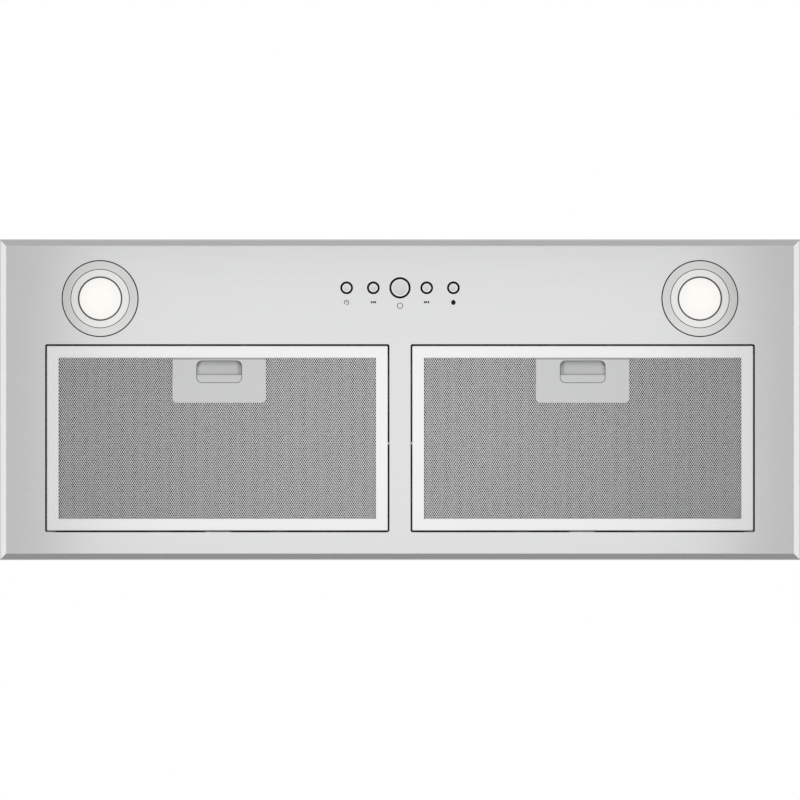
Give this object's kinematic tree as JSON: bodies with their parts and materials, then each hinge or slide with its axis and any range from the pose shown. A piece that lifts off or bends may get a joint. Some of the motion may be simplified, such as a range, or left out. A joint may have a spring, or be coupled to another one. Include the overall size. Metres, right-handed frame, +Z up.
{
  "type": "range hood insert",
  "caption": "Under-cabinet range hood insert with a bevelled steel panel, push buttons, round lamps, latched grease filters, a centrifugal blower and a damper collar.",
  "frame": {"origin": "centre of the cabinet cut-out, in the plane of the flange that seats under the cabinet", "axes": "+Z up out of the duct collar, -Y to the front with the controls, +X to the right of a person who faces the controls from below"},
  "size_m": [0.72, 0.2886, 0.2655],
  "materials": {
    "panel_steel": "fine satin brushed stainless steel",
    "frame_steel": "satin stainless steel, lighter than the panel",
    "zinc": "galvanised sheet with a faint spangle",
    "bright_zinc": "bright zinc-plated fasteners",
    "mesh": "expanded aluminium mesh, grey",
    "aluminium": "bare aluminium",
    "black_plastic": "matte black moulded plastic",
    "wheel_plastic": "dark grey moulded polypropylene",
    "button_plastic": "satin silver button caps",
    "white_plastic": "off-white moulded plastic",
    "lens": "frosted diffuser, warm white when lit",
    "rubber": "black rubber",
    "motor_paint": "dark grey motor casing",
    "shaft_steel": "ground steel shaft",
    "spring_steel": "spring steel",
    "board": "green circuit board",
    "lead": "black sheathed lead"
  },
  "bodies": {
    "insert": {"base_panel": "panel_steel", "housing_shell": "zinc", "panel_nuts": "bright_zinc", "blower_box": "zinc", "duct_collar": "zinc", "sheet_screws": "bright_zinc", "scroll_side_left": "zinc", "scroll_side_right": "zinc", "scroll_band": "zinc", "inlet_rings": "zinc", "motor_body": "motor_paint", "motor_bracket": "zinc", "motor_grommets": "rubber", "motor_capacitor": "white_plastic", "capacitor_strap": "zinc", "button_carrier": "black_plastic", "control_board": "board", "tact_switches": "black_plastic", "control_cover": "zinc", "wiring_box": "zinc", "wiring_box_cover": "zinc", "led_driver": "white_plastic", "lamp_leads": "lead", "motor_lead": "lead", "control_lead": "lead", "left_lamp_trim": "panel_steel", "left_lamp_lens": "lens", "left_lamp_body": "aluminium", "left_lamp_board": "white_plastic", "left_lamp_clips": "spring_steel", "right_lamp_trim": "panel_steel", "right_lamp_lens": "lens", "right_lamp_body": "aluminium", "right_lamp_board": "white_plastic", "right_lamp_clips": "spring_steel"},
    "left_damper": {"left_damper_flap": "aluminium"},
    "right_damper": {"right_damper_flap": "aluminium"},
    "wheel": {"blower_wheel": "wheel_plastic", "motor_shaft": "shaft_steel"},
    "left_filter": {"left_filter_frame": "frame_steel", "left_filter_face_mesh": "mesh", "left_filter_core": "aluminium", "left_filter_back_mesh": "mesh", "left_handle_plate": "panel_steel", "left_latch_cover": "zinc", "left_latch_springs": "spring_steel"},
    "left_latch": {"left_latch_slider": "panel_steel"},
    "right_filter": {"right_filter_frame": "frame_steel", "right_filter_face_mesh": "mesh", "right_filter_core": "aluminium", "right_filter_back_mesh": "mesh", "right_handle_plate": "panel_steel", "right_latch_cover": "zinc", "right_latch_springs": "spring_steel"},
    "right_latch": {"right_latch_slider": "panel_steel"},
    "timer": {"timer_button": "button_plastic"},
    "slower": {"slower_button": "button_plastic"},
    "power": {"power_button": "button_plastic"},
    "faster": {"faster_button": "button_plastic"},
    "light": {"light_button": "button_plastic"}
  },
  "joints": [
    {"name": "left_damper_swing", "type": "hinge", "parent": "insert", "child": "left_damper", "pos_m": [-0.003, 0.02332, 0.2287], "axis": [0, 1, 0], "range_deg": [0, 75]},
    {"name": "right_damper_swing", "type": "hinge", "parent": "insert", "child": "right_damper", "pos_m": [0.003, 0.02332, 0.2287], "axis": [0, -1, 0], "range_deg": [0, 75]},
    {"name": "blower_spin", "type": "hinge", "parent": "insert", "child": "wheel", "pos_m": [0, -0.03, 0.1187], "axis": [1, 0, 0], "continuous": true},
    {"name": "left_filter_swing", "type": "hinge", "parent": "insert", "child": "left_filter", "pos_m": [-0.16425, 0.11925, -0.0053], "axis": [1, 0, 0], "range_deg": [0, 80]},
    {"name": "left_latch_slide", "type": "slide", "parent": "left_filter", "child": "left_latch", "axis": [0, 1, 0], "range_m": [0, 0.005], "stiffness_N_per_m": 400, "springref_m": -0.004, "deforming": ["left_latch_springs"]},
    {"name": "right_filter_swing", "type": "hinge", "parent": "insert", "child": "right_filter", "pos_m": [0.16425, 0.11925, -0.0053], "axis": [1, 0, 0], "range_deg": [0, 80]},
    {"name": "right_latch_slide", "type": "slide", "parent": "right_filter", "child": "right_latch", "axis": [0, 1, 0], "range_m": [0, 0.005], "stiffness_N_per_m": 400, "springref_m": -0.004, "deforming": ["right_latch_springs"]},
    {"name": "timer_press", "type": "slide", "parent": "insert", "child": "timer", "axis": [0, 0, 1], "range_m": [0, 0.001], "stiffness_N_per_m": 800, "springref_m": -0.002},
    {"name": "slower_press", "type": "slide", "parent": "insert", "child": "slower", "axis": [0, 0, 1], "range_m": [0, 0.001], "stiffness_N_per_m": 800, "springref_m": -0.002},
    {"name": "power_press", "type": "slide", "parent": "insert", "child": "power", "axis": [0, 0, 1], "range_m": [0, 0.001], "stiffness_N_per_m": 800, "springref_m": -0.002},
    {"name": "faster_press", "type": "slide", "parent": "insert", "child": "faster", "axis": [0, 0, 1], "range_m": [0, 0.001], "stiffness_N_per_m": 800, "springref_m": -0.002},
    {"name": "light_press", "type": "slide", "parent": "insert", "child": "light", "axis": [0, 0, 1], "range_m": [0, 0.001], "stiffness_N_per_m": 800, "springref_m": -0.002}
  ]
}
